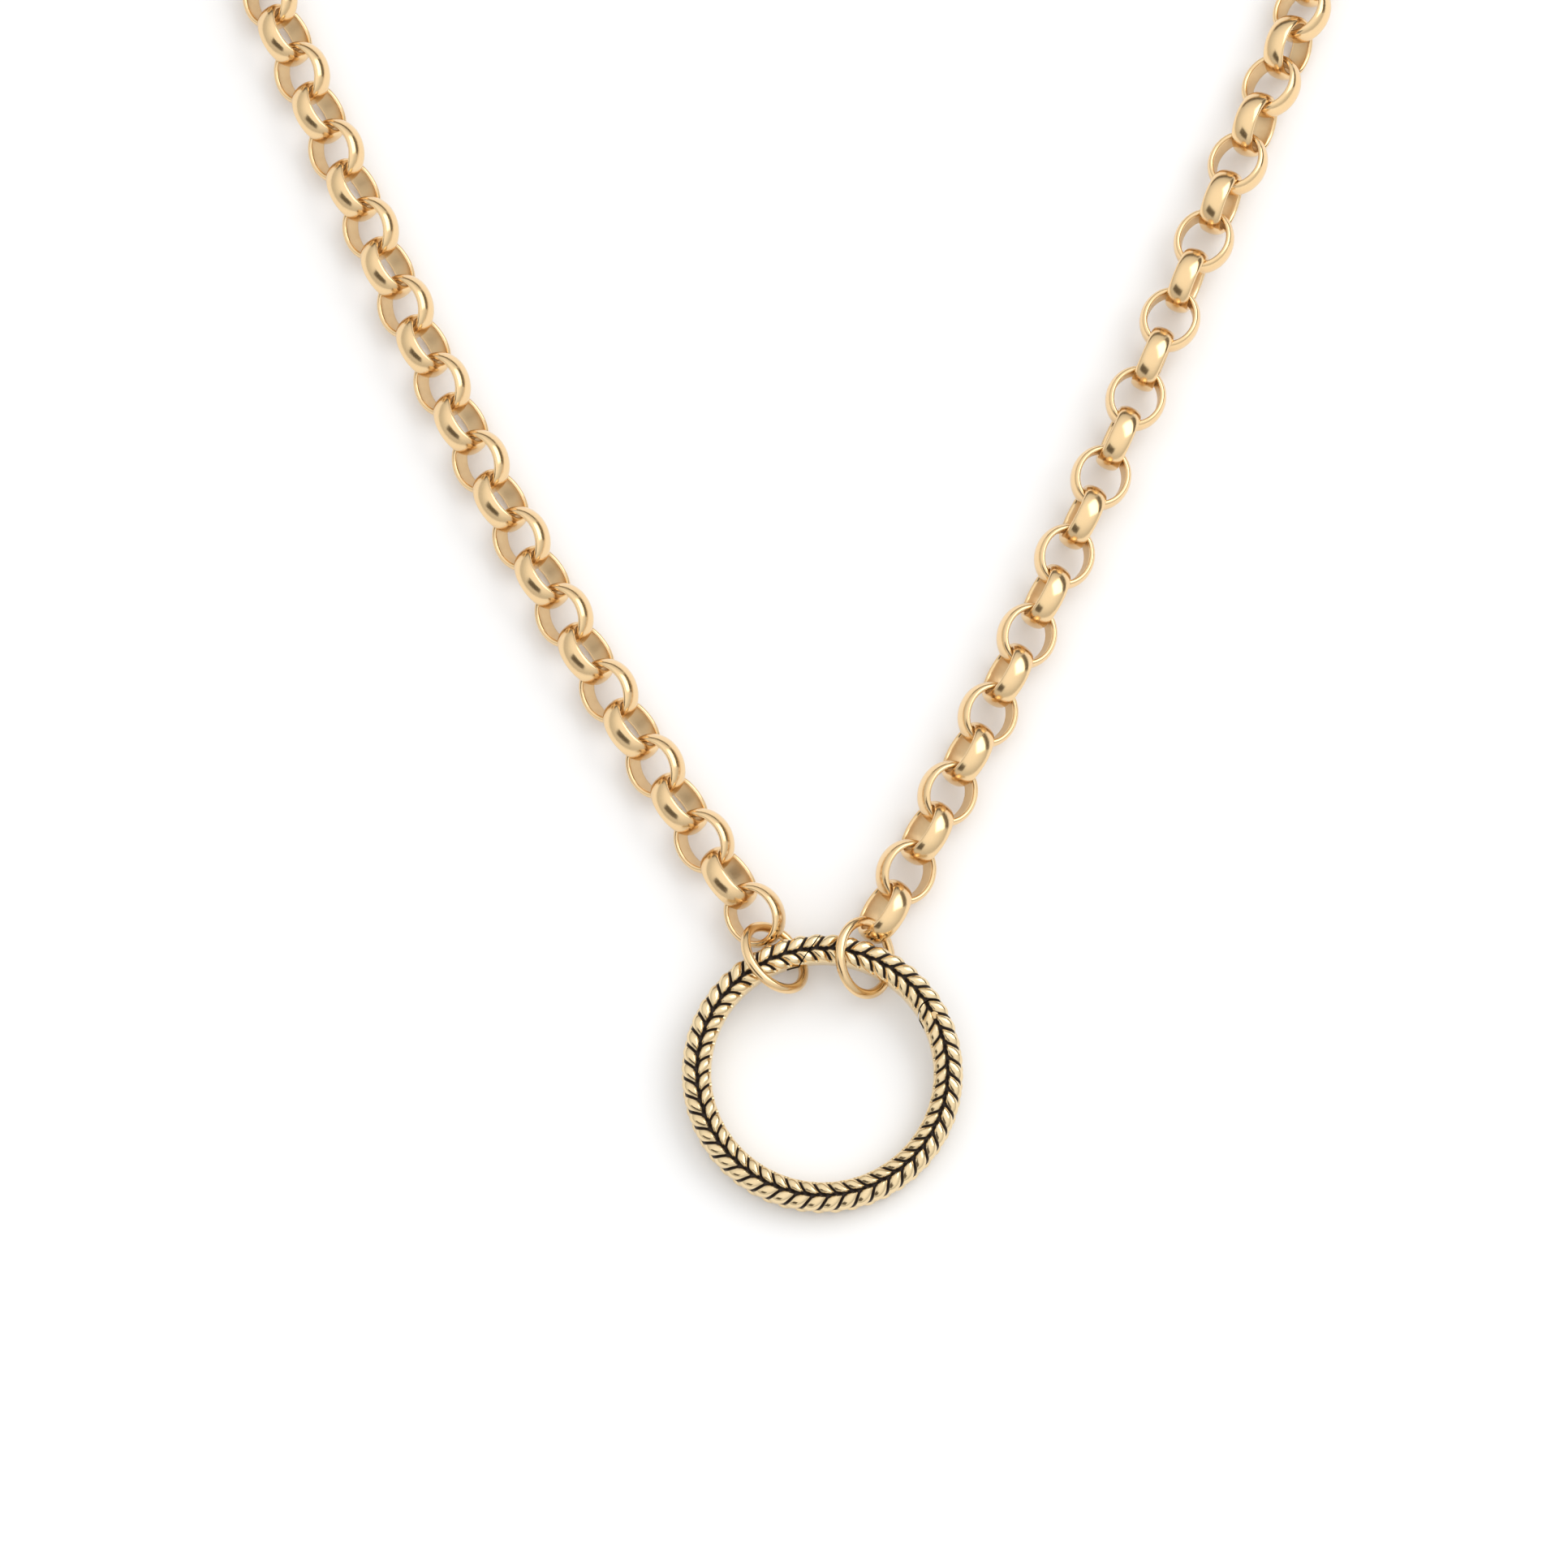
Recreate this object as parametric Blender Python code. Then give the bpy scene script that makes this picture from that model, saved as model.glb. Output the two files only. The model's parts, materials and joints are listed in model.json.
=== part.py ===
"""Chain necklace: an oval belcher chain hung on a hinged ring clasp by two jump rings, lying closed.

World frame: metres, +Z up off the table, +Y from the ring clasp towards the nape of the neck, origin
on the table under the middle of the necklace. Lengths below are millimetres, angles are degrees.

Each strand is a run of oval bands. A band's own +X runs along its chain away from the clasp, its +Z is
the axis of its hole, and its origin is the pivot on which it swings: the middle of curvature of the
end that rides on the band before it. The two strands meet at the nape, where the loop is left open.
"""
import bisect
import math

import bmesh
import bpy
from mathutils import Matrix, Vector

MM = 0.001

# Where the ring clasp's middle stands, so that the necklace's middle is over the origin
RING_X, RING_Y = 3.376, -81.331

# Ring clasp
RING_RADIUS = 12.5
RING_BAND = 2.7
RING_HEIGHT = 2.8
RING_CHAMFER = 0.45
RING_TILT = 4.0
RING_LIFT = 2.27
MID_RADIUS = RING_RADIUS - RING_BAND / 2
RING_STEP = 7.5

# Gate: the arc of the ring between the hinge and the slit
HINGE_ANGLE = 27.0
SLIT_ANGLE = 96.2
SLIT_SKEW = 4.4        # how much further round the slit is for each mm towards the bore
SLIT_GAP = 0.16
KNUCKLE_RADIUS = 1.15
KNUCKLE_HEIGHT = 0.9
EAR_SLOT = 1.2
END_RADIUS = 1.32
SHOULDER_RADIUS = 1.5
PIN_RADIUS = 0.36
PIN_HOLE_RADIUS = 0.46
PIN_LENGTH = 2.6

# Jump rings
WIRE = 0.9
JUMP_RADIUS = 3.25     # to the middle of the wire
JUMP_DROP = 0.15       # how far their middles lie below the ring's own
LEFT_JUMP_ANGLE, RIGHT_JUMP_ANGLE = 112.0, 70.0

# Chain bands: half lengths and half widths of the hole, and the D-shaped band round it
HOLE_LONG = 2.37
HOLE_WIDE = 2.03
BAND_THICK = 0.70
BAND_WIDE = 2.10
PITCH = 4.10
PIVOT_OFFSET = HOLE_LONG - HOLE_WIDE ** 2 / HOLE_LONG
BAND_STEPS = 16

# Strands: how many bands have a node of their own, and how the strands lean out from +Y
LEFT_BANDS, RIGHT_BANDS = 24, 23
LEFT_LEAN, LEFT_FLARE, LEFT_BEND = 23.3, 11.5, 18.0
RIGHT_LEAN, RIGHT_FLARE, RIGHT_BEND = 22.9, 5.5, 14.0
LEFT_FACE_TILT = 32.0
RIGHT_TILT_START, RIGHT_TILT_END, RIGHT_TILT_EASE = -30.0, 30.0, 1.8

# Back of the chain, in rigid runs of bands on either side of the nape
BACK_RUNS = (9, 9, 8)
NAPE_HEIGHT = 173.0    # the nape's distance from the clasp's middle
NAPE_STEP = 2.5        # how far the right strand's end lies inside the left one's
NAPE_CLEARANCE = 1.0   # half the clearance between the strands' ends
ARM_LONG, ARM_SHORT, ARM_MIDDLE, ARM_HALF_THICK = 2.68, 1.05, 1.95, 0.45
TIP_ARM, TIP_GAP, FIRST_TIP_GAP = 0.9, 0.35, 0.15

Z_AXIS = Vector((0, 0, 1))


def clear_scene():
    for item in list(bpy.data.objects):
        bpy.data.objects.remove(item, do_unlink=True)


def material(name, colour, roughness, metallic=1.0):
    made = bpy.data.materials.new(name)
    made.use_nodes = True
    shader = made.node_tree.nodes["Principled BSDF"]
    shader.inputs["Base Color"].default_value = (*colour, 1.0)
    shader.inputs["Roughness"].default_value = roughness
    shader.inputs["Metallic"].default_value = metallic
    return made


def add_object(name, mesh, finish, parent=None):
    """A visible sub-part."""
    if not mesh.materials:
        mesh.materials.append(finish)
    item = bpy.data.objects.new(name, mesh)
    bpy.context.scene.collection.objects.link(item)
    item.parent = parent
    return item


def add_tool(name, mesh, parent):
    """A shape that only cuts or joins another, and is no sub-part itself."""
    item = bpy.data.objects.new(name, mesh)
    bpy.context.scene.collection.objects.link(item)
    item.parent = parent
    item.hide_render = True
    item.display_type = "WIRE"
    return item


def combine(target, tool, operation):
    step = target.modifiers.new(tool.name, "BOOLEAN")
    step.operation = operation
    step.object = tool
    step.solver = "EXACT"


def mesh_from(name, points, faces):
    """A mesh in metres from points in millimetres, with its faces turned outwards."""
    mesh = bpy.data.meshes.new(name)
    mesh.from_pydata([Vector(p) * MM for p in points], [], faces)
    shape = bmesh.new()
    shape.from_mesh(mesh)
    bmesh.ops.recalc_face_normals(shape, faces=shape.faces)
    shape.to_mesh(mesh)
    shape.free()
    mesh.shade_smooth()
    mesh.set_sharp_from_angle(angle=math.radians(35))
    return mesh


def loft(name, sections, closed):
    """Skin equal rings of points in order. An open run gets a flat cap at each end."""
    size, count = len(sections[0]), len(sections)
    points = [p for section in sections for p in section]
    faces = []
    for a in range(count if closed else count - 1):
        b = (a + 1) % count
        for i in range(size):
            j = (i + 1) % size
            faces.append((a * size + i, a * size + j, b * size + j, b * size + i))
    if not closed:
        faces.append(tuple(range(size)))
        faces.append(tuple(range((count - 1) * size, count * size)))
    return mesh_from(name, points, faces)


def box_mesh(name, low, high):
    points = [(x, y, z) for x in (low[0], high[0]) for y in (low[1], high[1]) for z in (low[2], high[2])]
    faces = [(0, 1, 3, 2), (4, 6, 7, 5), (0, 4, 5, 1), (2, 3, 7, 6), (0, 2, 6, 4), (1, 5, 7, 3)]
    return mesh_from(name, points, faces)


def cylinder_mesh(name, radius, height, steps=20):
    rings = []
    for z in (-height / 2, height / 2):
        turn = [2 * math.pi * i / steps for i in range(steps)]
        rings.append([(radius * math.cos(a), radius * math.sin(a), z) for a in turn])
    return loft(name, rings, closed=False)


def polar(radius, angle, z=0.0):
    a = math.radians(angle)
    return Vector((radius * math.cos(a), radius * math.sin(a), z))


# ---------------------------------------------------------------- ring clasp, in the ring's own frame

def ring_section():
    """The ring's chamfered section as (out from the middle of the band, along the ring's axis)."""
    out, up, cut = RING_BAND / 2, RING_HEIGHT / 2, RING_CHAMFER
    return [(-out, cut - up), (-out, up - cut), (cut - out, up), (out - cut, up),
            (out, up - cut), (out, cut - up), (out - cut, -up), (cut - out, -up)]


def ring_arc(name, start, end, skew_start=0.0, skew_end=0.0):
    """A stretch of the ring. A skewed end is oblique, and its slant fades out over a third of the arc."""
    count = round((end - start) / RING_STEP)
    sections = []
    for i in range(count + 1):
        share = i / count
        angle = start + (end - start) * share
        skew = skew_start * max(0, 1 - 3 * share) + skew_end * max(0, 3 * share - 2)
        sections.append([polar(MID_RADIUS + out, angle - skew * out, up) for out, up in ring_section()])
    return loft(name, sections, closed=False)


def hinge_place():
    return polar(MID_RADIUS, HINGE_ANGLE)


def end_cutter_mesh():
    """A block with a round bite that leaves the ring's hinged end rounded about the hinge pin.

    Its +X points along the ring from the pin into the gate.
    """
    bite = [(END_RADIUS * math.cos(a), END_RADIUS * math.sin(a))
            for a in [math.radians(90 - 15 * i) for i in range(13)]]
    outline = bite + [(0, -3), (4, -3), (4, 3), (0, 3)]
    rings = [[(x, y, z) for x, y in outline] for z in (-3, 3)]
    return loft("end_cutter", rings, closed=False)


def slit_matrix():
    """The slit's frame: +X along the slit towards the bore, +Y from the gate into the ring body."""
    outer = polar(RING_RADIUS, SLIT_ANGLE - SLIT_SKEW * RING_BAND / 2)
    inner = polar(RING_RADIUS - RING_BAND, SLIT_ANGLE + SLIT_SKEW * RING_BAND / 2)
    along = (inner - outer).normalized()
    across = Vector((along.y, -along.x, 0))
    turn = Matrix((along, across, Vector((0, 0, -1)))).transposed().to_4x4()
    return Matrix.Translation((inner + outer) / 2 * MM) @ turn


def hinge_matrix():
    """The hinge's frame: +X along the ring into the gate, +Z the ring's axis."""
    return Matrix.Translation(hinge_place() * MM) @ Matrix.Rotation(math.radians(HINGE_ANGLE + 90), 4, "Z")


def place(item, matrix):
    item.matrix_local = matrix


def ring_frame():
    """The ring lies on the table by its lower edge, with its upper edge lifted by the jump rings."""
    frame = bpy.data.objects.new("ring_frame", None)
    bpy.context.scene.collection.objects.link(frame)
    frame.matrix_world = ring_world()
    return frame


def ring_world():
    spot = Matrix.Translation(Vector((RING_X, RING_Y, RING_LIFT)) * MM)
    return spot @ Matrix.Rotation(math.radians(RING_TILT), 4, "X")


def ring_body(frame, gold):
    half_gap = math.degrees(SLIT_GAP / 2 / MID_RADIUS)
    mesh = ring_arc("ring_body", SLIT_ANGLE + half_gap, 360 + HINGE_ANGLE + 9, skew_start=SLIT_SKEW)
    body = add_object("ring_body", mesh, gold, frame)

    rounding = add_tool("end_cutter", end_cutter_mesh(), frame)
    place(rounding, hinge_matrix())
    slot = add_tool("ear_slot", cylinder_mesh("ear_slot", 1.42, EAR_SLOT), frame)
    place(slot, hinge_matrix())
    hole = add_tool("ear_hole", cylinder_mesh("ear_hole", PIN_HOLE_RADIUS, 4.0), frame)
    place(hole, hinge_matrix())
    spring_pocket = box_mesh("spring_pocket", (-3.6, -0.35, -0.5), (-1.2, 0.35, 0.5))
    pocket = add_tool("spring_pocket", spring_pocket, frame)
    place(pocket, hinge_matrix())
    latch = add_tool("latch_pocket", box_mesh("latch_pocket", (-0.45, -0.4, -0.42), (2.6, 0.85, 0.42)), frame)
    place(latch, slit_matrix())
    for tool in (rounding, slot, hole, pocket, latch):
        combine(body, tool, "DIFFERENCE")
    return body


def ring_gate(frame, gold):
    """The hinged arc. Its origin is on the hinge pin's axis."""
    half_gap = math.degrees(SLIT_GAP / 2 / MID_RADIUS)
    start = HINGE_ANGLE + 3.0
    mesh = ring_arc("ring_gate", start, SLIT_ANGLE - half_gap, skew_end=SLIT_SKEW)
    mesh.transform(Matrix.Translation(-hinge_place() * MM))
    gate = add_object("ring_gate", mesh, gold, frame)
    gate.location = hinge_place() * MM

    shoulder = add_tool("shoulder_cutter", cylinder_mesh("shoulder_cutter", SHOULDER_RADIUS, 4.0, 28), frame)
    place(shoulder, hinge_matrix())
    knuckle = add_tool("gate_knuckle", cylinder_mesh("gate_knuckle", KNUCKLE_RADIUS, KNUCKLE_HEIGHT), frame)
    place(knuckle, hinge_matrix())
    half = KNUCKLE_HEIGHT / 2
    web = add_tool("gate_web", box_mesh("gate_web", (0.4, -0.6, -half + 0.04), (2.4, 0.6, half - 0.04)), frame)
    place(web, hinge_matrix())
    hole = add_tool("gate_hole", cylinder_mesh("gate_hole", PIN_HOLE_RADIUS, 4.0), frame)
    place(hole, hinge_matrix())
    latch = add_tool("tongue_pocket", box_mesh("tongue_pocket", (-0.44, -1.1, -0.36), (0.54, 0.4, 0.36)), frame)
    place(latch, slit_matrix())
    combine(gate, shoulder, "DIFFERENCE")
    combine(gate, knuckle, "UNION")
    combine(gate, web, "UNION")
    combine(gate, hole, "DIFFERENCE")
    combine(gate, latch, "DIFFERENCE")
    return gate


def clasp_fittings(frame, steel):
    pin = add_object("gate_hinge_pin", cylinder_mesh("gate_hinge_pin", PIN_RADIUS, PIN_LENGTH, 12), steel, frame)
    place(pin, hinge_matrix())
    spring = add_object("gate_spring", box_mesh("gate_spring", (-3.4, -0.12, -0.32), (-1.3, 0.12, 0.32)), steel, frame)
    place(spring, hinge_matrix())
    tongue = add_object("gate_latch", box_mesh("gate_latch", (-0.32, -0.95, -0.24), (0.42, 0.55, 0.24)), steel, frame)
    place(tongue, slit_matrix())


# ---------------------------------------------------------------- jump rings

def torus_sections(radius, wire, steps, sides):
    sections = []
    for i in range(steps):
        a = 2 * math.pi * i / steps
        ring = []
        for k in range(sides):
            b = 2 * math.pi * (k + 0.5) / sides
            reach = radius + wire / 2 * math.cos(b)
            ring.append((reach * math.cos(a), reach * math.sin(a), wire / 2 * math.sin(b)))
        sections.append(ring)
    return sections


def frame_from(normal, along):
    """A turn whose +Z is normal and whose +X is along, made square to it."""
    normal = normal.normalized()
    along = (along - along.dot(normal) * normal).normalized()
    return Matrix((along, normal.cross(along), normal)).transposed()


def leaning_axis(lean, way):
    """An axis that leans from upright by lean, towards the way counted round from +X."""
    a, b = math.radians(lean), math.radians(way)
    return Vector((math.sin(a) * math.cos(b), math.sin(a) * math.sin(b), math.cos(a)))


def jump_ring_left_pose():
    """Middle, axis and level long way of the left jump ring, which lies with its lower left side on top."""
    middle = ring_world() @ (polar(MID_RADIUS + 0.15, LEFT_JUMP_ANGLE, -JUMP_DROP) * MM) / MM
    return middle, leaning_axis(45.0, 30.0), Vector((0.5, -0.866, 0))


def jump_ring_right_pose():
    """The right jump ring is threaded on the gate, and lies with its left side on top."""
    middle = ring_world() @ (polar(MID_RADIUS, RIGHT_JUMP_ANGLE, -JUMP_DROP) * MM) / MM
    return middle, leaning_axis(47.0, -8.0), Vector((0, 1, 0))


def on_wire(pose, angle):
    """A point on the middle of a jump ring's wire, counted round from its long way."""
    middle, axis, along = pose
    a = math.radians(angle)
    return middle + frame_from(axis, along) @ Vector((JUMP_RADIUS * math.cos(a), JUMP_RADIUS * math.sin(a), 0))


def jump_ring(name, pose, origin, gold):
    """A round wire ring whose origin is a point on its joint's axis."""
    middle, axis, along = pose
    turn = frame_from(axis, along).to_4x4()
    mesh = loft(name, torus_sections(JUMP_RADIUS, WIRE, 20, 6), closed=True)
    mesh.transform(Matrix.Translation((middle - origin) * MM) @ turn)
    ring = add_object(name, mesh, gold)
    ring.location = origin * MM
    return ring


def jump_rings(gold):
    """The left one slides round the ring's axis. The right one turns on the gate where it holds it."""
    ring_middle = Vector((RING_X, RING_Y, RING_LIFT))
    jump_ring("jump_ring_left", jump_ring_left_pose(), ring_middle, gold)
    pose = jump_ring_right_pose()
    jump_ring("jump_ring_right", pose, pose[0], gold)


# ---------------------------------------------------------------- chain bands

def band_profile():
    """Half of the D, from the hole out over the dome: (out from the hole, along the hole's axis)."""
    half, thick = BAND_WIDE / 2, BAND_THICK
    return [(0, 0.78 * half), (0.32 * thick, half), (thick, 0.38 * half)]


def band_sections():
    """The oval band: flat inside, domed outside. Each section is a D."""
    half_profile = band_profile()
    profile = [(out, up) for out, up in half_profile] + [(out, -up) for out, up in reversed(half_profile)]
    sections = []
    for i in range(BAND_STEPS):
        a = 2 * math.pi * i / BAND_STEPS
        sections.append([(PIVOT_OFFSET + (HOLE_LONG + out) * math.cos(a), (HOLE_WIDE + out) * math.sin(a), up)
                         for out, up in profile])
    return sections


def half_height(tilt):
    """How far a band reaches below its middle when its axis leans by tilt from upright."""
    lean = math.radians(abs(tilt))
    return max((HOLE_WIDE + out) * math.sin(lean) + up * math.cos(lean) for out, up in band_profile())


def chain_height(tilt):
    """The chain's middle is as high as its tallest bands need, and those stand square to the flattest."""
    lean = abs(tilt) % 180
    lean = min(lean, 180 - lean)
    return half_height(max(lean, 90 - lean))


def heading(lean, side):
    """The way a strand runs. side is -1 for the left strand, +1 for the right one."""
    a = math.radians(lean)
    return Vector((side * math.sin(a), math.cos(a), 0))


def band_turn(along, tilt):
    """A band's frame. tilt leans its axis from upright towards the left of the way along."""
    lean = math.radians(tilt)
    left = Z_AXIS.cross(along)
    axis = math.cos(lean) * Z_AXIS + math.sin(lean) * left
    return Matrix((along, axis.cross(along), axis)).transposed().to_4x4()


def band_matrix(middle, along, tilt):
    return Matrix.Translation((middle - PIVOT_OFFSET * along) * MM) @ band_turn(along, tilt)


def left_lean(index):
    return LEFT_LEAN + LEFT_FLARE * max(0.0, 1 - index / LEFT_BEND)


def right_lean(index):
    return RIGHT_LEAN + RIGHT_FLARE * max(0.0, 1 - index / RIGHT_BEND)


def left_tilt(index):
    """Odd bands lie nearly flat and even ones stand on edge, square to them."""
    return LEFT_FACE_TILT if index % 2 else LEFT_FACE_TILT - 90


def right_tilt(index):
    """Even bands lie nearly flat. The whole strand twists on its way up, faster towards the back."""
    share = ((index - 1) / (RIGHT_BANDS - 1)) ** RIGHT_TILT_EASE
    flat = RIGHT_TILT_START + (RIGHT_TILT_END - RIGHT_TILT_START) * share
    return flat + 90 if index % 2 else flat


def strand(first, lean_of, side, count):
    """Middles and headings of a strand's bands, from the clasp up."""
    middle, bands = first.copy(), []
    for index in range(1, count + 1):
        along = heading(lean_of(index), side)
        if index > 1:
            before = heading(lean_of(index - 1), side)
            middle = middle + PITCH * (before + along).normalized()
        bands.append((middle.copy(), along))
    return bands


def left_first():
    """The first left band hangs on the left jump ring's wire, close outside the ring."""
    return on_wire(jump_ring_left_pose(), 166) + 1.22 * heading(left_lean(1), -1)


def right_first():
    """The first right band hangs on the right jump ring's wire, on its low side."""
    return on_wire(jump_ring_right_pose(), -22) + 1.5 * heading(right_lean(1), 1)


def on_table(point, tilt):
    return Vector((point.x, point.y, chain_height(tilt)))


def chain_strands():
    left = strand(left_first(), left_lean, -1, LEFT_BANDS)
    right = strand(right_first(), right_lean, 1, RIGHT_BANDS)
    return left, right


def add_bands(gold):
    left, right = chain_strands()
    mesh = loft("chain_band", band_sections(), closed=True)
    for side, bands, tilt_of in (("left", left, left_tilt), ("right", right, right_tilt)):
        for index, (middle, along) in enumerate(bands, 1):
            tilt = tilt_of(index)
            band = add_object(f"link_{side}_{index:02d}", mesh, gold)
            band.matrix_world = band_matrix(on_table(middle, tilt), along, tilt)
    return left, right


# ---------------------------------------------------------------- back of the chain

def bezier(points, t):
    """A point on a cubic curve and the way it runs there."""
    a, b, c, d = points
    s = 1 - t
    spot = s ** 3 * a + 3 * s * s * t * b + 3 * s * t * t * c + t ** 3 * d
    way = 3 * (s * s * (b - a) + 2 * s * t * (c - b) + t * t * (d - c))
    return spot, way.normalized()


def nape():
    return Vector((RING_X - 1.2, RING_Y + NAPE_HEIGHT, 0))


def back_curve(last_middle, last_along, side):
    """From a strand's last band round to the nape, where the chain runs straight across."""
    start = Vector((last_middle.x, last_middle.y, 0))
    end = nape() - Vector((0, NAPE_STEP if side > 0 else 0, 0))
    reach = 0.718 * abs(end.x - start.x) / math.cos(math.radians(LEFT_LEAN))
    return [start, start + reach * last_along, end + Vector((side * reach, 0, 0)), end]


class Route:
    """A curve that is walked by its length."""

    def __init__(self, points, fine=400):
        self.samples = [bezier(points, i / fine) for i in range(fine + 1)]
        self.lengths = [0.0]
        for (p, _), (q, _) in zip(self.samples, self.samples[1:]):
            self.lengths.append(self.lengths[-1] + (q - p).length)

    def at(self, length):
        """The point and the way at a length from the start."""
        k = min(bisect.bisect_left(self.lengths, length), len(self.lengths) - 1)
        k = max(k, 1)
        share = (length - self.lengths[k - 1]) / (self.lengths[k] - self.lengths[k - 1])
        (p, v), (q, w) = self.samples[k - 1], self.samples[k]
        return p.lerp(q, share), v.lerp(w, share).normalized()


def back_tilt(side, steps):
    """How far the leading bands' axis leans. The twist eases from each strand's own to a mean at the nape."""
    start = LEFT_FACE_TILT if side < 0 else 90 - RIGHT_TILT_END
    middle = (LEFT_FACE_TILT + 60) / 2
    share = min(1.0, steps / (sum(BACK_RUNS) + 0.5))
    tilt = start + (middle - start) * share
    return -side * tilt


def leads(side, band):
    """Whether a hidden band is one of those that back_tilt speaks of. The others stand square to them.

    Those are the odd ones on the left and the even ones on the right, which has one band fewer to show.
    """
    return (band % 2 == 1) == (side < 0)


def arm_section(spot, turn, long_arm, short_arm):
    """A plus-shaped section: one arm along each of the two families of bands."""
    e = ARM_HALF_THICK
    outline = [(long_arm, -e), (long_arm, e), (e, e), (e, short_arm), (-e, short_arm), (-e, e),
               (-long_arm, e), (-long_arm, -e), (-e, -e), (-e, -short_arm), (e, -short_arm), (e, -e)]
    return [spot + turn @ Vector((0, x, y)) for x, y in outline]


def back_run(name, route, side, first, count, gold):
    """A rigid run of count bands after the first ones. Its frame is that of its first band's pivot."""
    pitch = route.lengths[-1] / (sum(BACK_RUNS) + 0.5)
    last_run = first + count == sum(BACK_RUNS)
    pivot_at = (first + 0.5) * pitch if first else pitch - PIVOT_OFFSET
    tip_at = pivot_at + (TIP_GAP if first else FIRST_TIP_GAP)
    end_at = route.lengths[-1] - NAPE_CLEARANCE if last_run else (first + count + 0.5) * pitch - TIP_GAP

    def spot_and_turn(length, extra=0.0):
        spot, way = route.at(length)
        tilt = back_tilt(side, length / pitch)
        return spot + Vector((0, 0, chain_height(tilt))), band_turn(way, tilt + extra)

    def section(length, long_arm, short_arm):
        return arm_section(*spot_and_turn(length), long_arm, short_arm)

    sections = [section(tip_at, TIP_ARM, TIP_ARM)]
    for band in range(first + 1, first + count + 1):
        arms = (ARM_LONG, ARM_SHORT) if leads(side, band) else (ARM_SHORT, ARM_LONG)
        sections.append(section(band * pitch, *arms))
        if band < first + count:
            sections.append(section((band + 0.5) * pitch, ARM_MIDDLE, ARM_MIDDLE))
    sections.append(section(end_at, TIP_ARM, TIP_ARM))

    pivot, turn = spot_and_turn(pivot_at, extra=0.0 if leads(side, first + 1) else 90.0)
    mesh = loft(name, sections, closed=False)
    matrix = Matrix.Translation(pivot * MM) @ turn
    mesh.transform(matrix.inverted())
    add_object(name, mesh, gold).matrix_world = matrix


def add_back(left, right, gold):
    for side, bands, word in ((-1, left, "left"), (1, right, "right")):
        route = Route(back_curve(*bands[-1], side))
        done = 0
        for number, count in enumerate(BACK_RUNS, 1):
            back_run(f"back_chain_{word}_{number}", route, side, done, count, gold)
            done += count


def main():
    clear_scene()
    gold = material("polished_gold", (0.83, 0.60, 0.30), 0.18)
    carved = material("carved_gold", (0.78, 0.57, 0.30), 0.25)
    steel = material("clasp_fittings", (0.70, 0.52, 0.28), 0.3)
    frame = ring_frame()
    ring_body(frame, carved)
    ring_gate(frame, carved)
    clasp_fittings(frame, steel)
    jump_rings(gold)
    left, right = add_bands(gold)
    add_back(left, right, gold)


main()
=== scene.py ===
"""The looks of the chain necklace: polished gold bands and jump rings, and a carved, darkened ring clasp.

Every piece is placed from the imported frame's joints and nodes, in the frame's own metres, and rides on
the body that it belongs to. Lengths in the shape functions are millimetres and angles are degrees.
"""
import bisect
import json
import math

import bpy
import numpy as np
from mathutils import Matrix, Vector


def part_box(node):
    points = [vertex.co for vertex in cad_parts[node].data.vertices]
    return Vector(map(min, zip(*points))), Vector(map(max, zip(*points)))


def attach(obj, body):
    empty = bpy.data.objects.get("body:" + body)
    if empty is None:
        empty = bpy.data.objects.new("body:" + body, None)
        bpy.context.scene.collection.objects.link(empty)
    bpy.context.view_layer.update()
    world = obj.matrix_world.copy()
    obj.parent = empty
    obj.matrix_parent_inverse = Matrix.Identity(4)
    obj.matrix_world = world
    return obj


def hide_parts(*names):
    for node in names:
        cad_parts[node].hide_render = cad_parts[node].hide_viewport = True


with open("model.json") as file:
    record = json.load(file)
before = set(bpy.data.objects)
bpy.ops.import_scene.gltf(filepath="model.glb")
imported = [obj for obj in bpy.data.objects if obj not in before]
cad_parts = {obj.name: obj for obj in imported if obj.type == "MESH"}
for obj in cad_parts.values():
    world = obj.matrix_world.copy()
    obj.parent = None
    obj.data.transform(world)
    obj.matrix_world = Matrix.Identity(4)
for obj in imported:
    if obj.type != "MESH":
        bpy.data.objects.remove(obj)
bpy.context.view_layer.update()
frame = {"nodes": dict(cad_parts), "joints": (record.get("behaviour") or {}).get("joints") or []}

MM = 0.001
Z_AXIS = Vector((0, 0, 1))
JOINTS = {joint["name"]: joint for joint in frame["joints"]}
RING_JOINT = "jump_ring_left_slide"

# Chain bands: half the hole's length and width, then the D-shaped strip round it with its flat inside,
# the points that round the flat off, as (out, up), and the dome
HOLE_LONG, HOLE_WIDE = 2.37, 2.03
BAND_THICK, BAND_WIDE = 0.70, 2.10
FLAT_WIDE, FLAT_POINTS = 1.60, 5
FLAT_ROUNDING = ((0.035, 0.92), (0.11, 1.01))
DOME_START, DOME_STEPS = 0.22, 12
BAND_STEPS = 64

# The left strand's bands are rolled about the strand, easing in over its first bands
LEFT_ROLL, LEFT_ROLL_BANDS = 7.0, 4

# Hidden back of the chain: the bands in each run, the nape from the ring's middle, how far the right
# end lies inside the left one, the curve's handles, the gap at the nape as a share of the pitch, and
# how far the bands lean where the back starts and at the nape
BACK_RUNS = (9, 9, 8)
NAPE_HEIGHT, NAPE_ASIDE, NAPE_STEP = 173.0, -1.2, 2.5
NAPE_REACH, NAPE_LEAN = 0.718, 23.3
NAPE_GAP = 0.5
LEFT_BACK_TILT, RIGHT_BACK_TILT, NAPE_TILT = 39.0, 60.0, 46.0
ROUTE_SAMPLES = 400

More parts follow.
